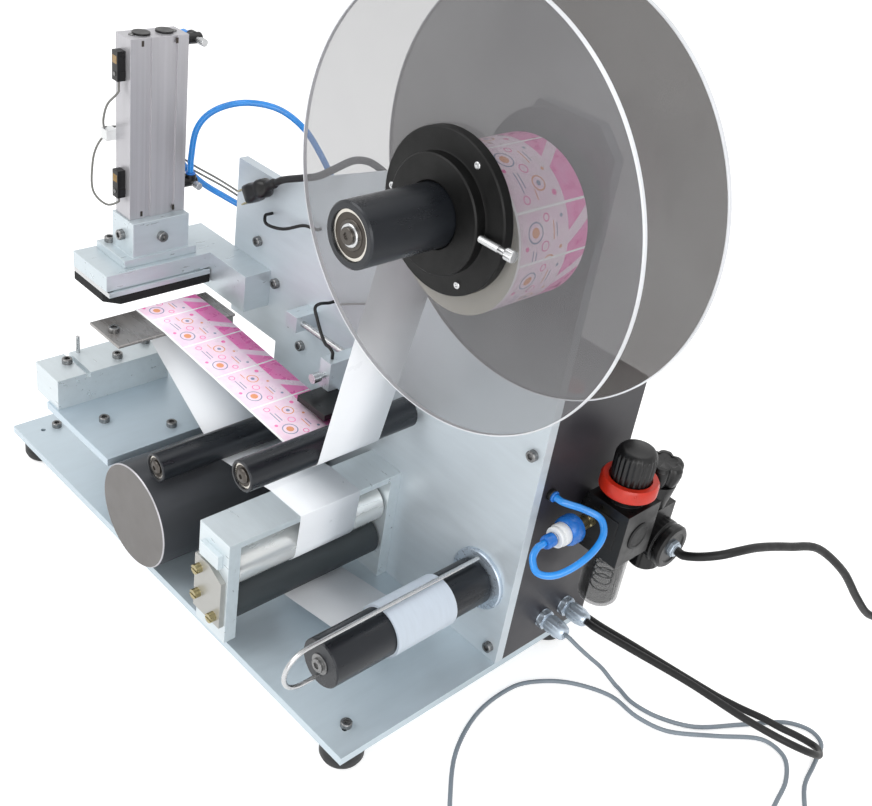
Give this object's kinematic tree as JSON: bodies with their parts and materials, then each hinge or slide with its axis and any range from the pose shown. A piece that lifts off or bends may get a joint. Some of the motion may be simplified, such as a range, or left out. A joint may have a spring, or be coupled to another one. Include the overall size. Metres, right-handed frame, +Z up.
{
  "type": "flat surface labeling machine",
  "caption": "Bench label applicator: reel with clear discs on an upright plate, idlers, driven nip rollers, peel plate, air press with pad, label sensor, air regulator and control box.",
  "frame": {"origin": "centre of the machine's bounding box, without its loose cords, on the floor plane under the rubber feet", "axes": "+X along the base plate towards the air unit and glands, +Y from the operator's side to the control box, +Z up"},
  "size_m": [0.8507, 0.7592, 0.6314],
  "materials": {
    "plate_metal": "fine satin anodised",
    "light_metal": "satin anodised",
    "cylinder_metal": "extruded, satin anodised",
    "roller_metal": "ground",
    "box_black": "satin black paint",
    "black_anodised": "black anodised, satin",
    "dark_grey": "satin dark grey",
    "screw_steel": "socket screws",
    "bright_steel": "ground bright",
    "bearing_steel": "turned bright",
    "dark_steel": "polished dark",
    "cream_cover": "cream, satin",
    "clear_acrylic": "clear with a milky haze, bright rim",
    "clear_bowl": "clear",
    "label_paper": null,
    "liner_paper": "glossy release paper, satin white",
    "black_rubber": "matt rubber",
    "black_plastic": "moulded",
    "red_plastic": "moulded, glossy",
    "grey_nylon": "moulded nylon",
    "blue_fitting": "moulded with brass and white rings",
    "blue_tube": "translucent polyurethane",
    "lead_black": "insulated wire",
    "unit_grey": "plain housings",
    "cord_black": "satin black sheath",
    "cable_grey": "grey sheath"
  },
  "bodies": {
    "frame": {"base_plate": "plate_metal", "rubber_feet": "black_rubber", "side_plate": "plate_metal", "control_box": "box_black", "frame_screws": "screw_steel", "cable_glands": "grey_nylon", "air_fittings": "blue_fitting", "reel_shaft": "bright_steel", "ball_bearings": "bearing_steel", "label_web": "label_paper", "liner_web": "liner_paper", "roller_axles": "bright_steel", "nip_frame": "light_metal", "nip_cover": "cream_cover", "waste_flange": "light_metal", "peel_table": "plate_metal", "peel_block": "light_metal", "peel_plate": "dark_steel", "press_arm": "light_metal", "cylinder_block": "light_metal", "cylinder_body": "cylinder_metal", "cylinder_fittings": "black_plastic", "blue_tubes": "blue_tube", "signal_leads": "lead_black", "sensor_rods": "bright_steel", "filter_regulator": "black_plastic", "inlet_valve": "black_plastic", "bowl": "clear_bowl", "bowl_spring": "bright_steel", "box_units": "unit_grey", "drive_belt": "black_rubber", "mains_cord": "cord_black", "mains_plug": "cord_black", "cable_run": "cable_grey", "cable_coil": "cable_grey", "hose_run": "cord_black", "hose_coil": "cord_black"},
    "reel": {"reel_sleeve": "black_anodised", "rear_flange": "black_anodised", "rear_disc": "clear_acrylic"},
    "front_disc_set": {"front_disc": "clear_acrylic", "front_flange": "black_anodised"},
    "clamp_screw": {"clamp_screw": "bright_steel"},
    "label_roll": {"label_roll": "label_paper"},
    "idler_1": {"idler_1": "black_anodised"},
    "idler_2": {"idler_2": "black_anodised"},
    "drum": {"drum": "dark_grey"},
    "drive_roller": {"drive_roller": "black_rubber"},
    "press_roller": {"press_roller": "roller_metal"},
    "motor_pulley": {"motor_pulley": "light_metal"},
    "waste_roller": {"waste_roller": "black_anodised", "waste_paper": "liner_paper"},
    "waste_clip": {"waste_clip": "bright_steel"},
    "press_head": {"press_rod": "bright_steel", "press_pad": "black_rubber"},
    "sensor_carriage": {"sensor_bracket": "light_metal", "label_sensor": "black_plastic"},
    "regulator_knob": {"regulator_knob": "black_plastic"},
    "valve_knob": {"valve_knob": "black_plastic"},
    "stop_button": {"stop_button": "red_plastic"}
  },
  "joints": [
    {"name": "reel_spin", "type": "hinge", "parent": "frame", "child": "reel", "pos_m": [0.1834, -0.04713, 0.4814], "axis": [0, 1, 0], "continuous": true},
    {"name": "front_disc_slide", "type": "slide", "parent": "reel", "child": "front_disc_set", "axis": [0, -1, 0], "range_m": [0, 0.06]},
    {"name": "clamp_screw_turn", "type": "hinge", "parent": "front_disc_set", "child": "clamp_screw", "pos_m": [0.2116, -0.10562, 0.4814], "axis": [1, 0, 0], "range_deg": [0, 360]},
    {"name": "label_roll_spin", "type": "hinge", "parent": "frame", "child": "label_roll", "pos_m": [0.1834, -0.05212, 0.4647], "axis": [0, 1, 0], "continuous": true},
    {"name": "idler_1_spin", "type": "hinge", "parent": "frame", "child": "idler_1", "pos_m": [-0.0564, -0.06713, 0.151], "axis": [0, 1, 0], "continuous": true},
    {"name": "idler_2_spin", "type": "hinge", "parent": "frame", "child": "idler_2", "pos_m": [0.0646, -0.06713, 0.219], "axis": [0, 1, 0], "continuous": true},
    {"name": "drum_spin", "type": "hinge", "parent": "frame", "child": "drum", "pos_m": [-0.0784, -0.06713, 0.086], "axis": [0, 1, 0], "continuous": true},
    {"name": "drive_roller_spin", "type": "hinge", "parent": "frame", "child": "drive_roller", "pos_m": [0.0426, -0.06713, 0.0709], "axis": [0, 1, 0], "continuous": true},
    {"name": "press_roller_spin", "type": "hinge", "parent": "frame", "child": "press_roller", "pos_m": [0.0426, -0.06713, 0.10994], "axis": [0, 1, 0], "continuous": true},
    {"name": "motor_pulley_spin", "type": "hinge", "parent": "frame", "child": "motor_pulley", "pos_m": [-0.0504, 0.05287, 0.122], "axis": [0, 1, 0], "continuous": true},
    {"name": "waste_roller_spin", "type": "hinge", "parent": "frame", "child": "waste_roller", "pos_m": [0.174, -0.06713, 0.1045], "axis": [0, 1, 0], "continuous": true},
    {"name": "waste_clip_slide", "type": "slide", "parent": "waste_roller", "child": "waste_clip", "axis": [0, -1, 0], "range_m": [0, 0.07]},
    {"name": "press_stroke", "type": "slide", "parent": "frame", "child": "press_head", "axis": [0, 0, -1], "range_m": [0, 0.05]},
    {"name": "sensor_slide", "type": "slide", "parent": "frame", "child": "sensor_carriage", "axis": [1, 0, 0], "range_m": [-0.012, 0.012]},
    {"name": "regulator_turn", "type": "hinge", "parent": "frame", "child": "regulator_knob", "pos_m": [0.2456, 0.11088, 0.22], "axis": [0, 0, 1], "range_deg": [0, 720]},
    {"name": "valve_turn", "type": "hinge", "parent": "frame", "child": "valve_knob", "pos_m": [0.2456, 0.15887, 0.22], "axis": [0, 0, 1], "range_deg": [0, 90]},
    {"name": "stop_press", "type": "slide", "parent": "frame", "child": "stop_button", "axis": [0, 0, -1], "range_m": [0, 0.004], "stiffness_N_per_m": 300}
  ],
  "couplings": [
    {"joint": "label_roll_spin", "follows": "reel_spin", "ratio": 0.55263},
    {"joint": "press_roller_spin", "follows": "drive_roller_spin", "ratio": -1},
    {"joint": "motor_pulley_spin", "follows": "drive_roller_spin", "ratio": 1.2}
  ]
}
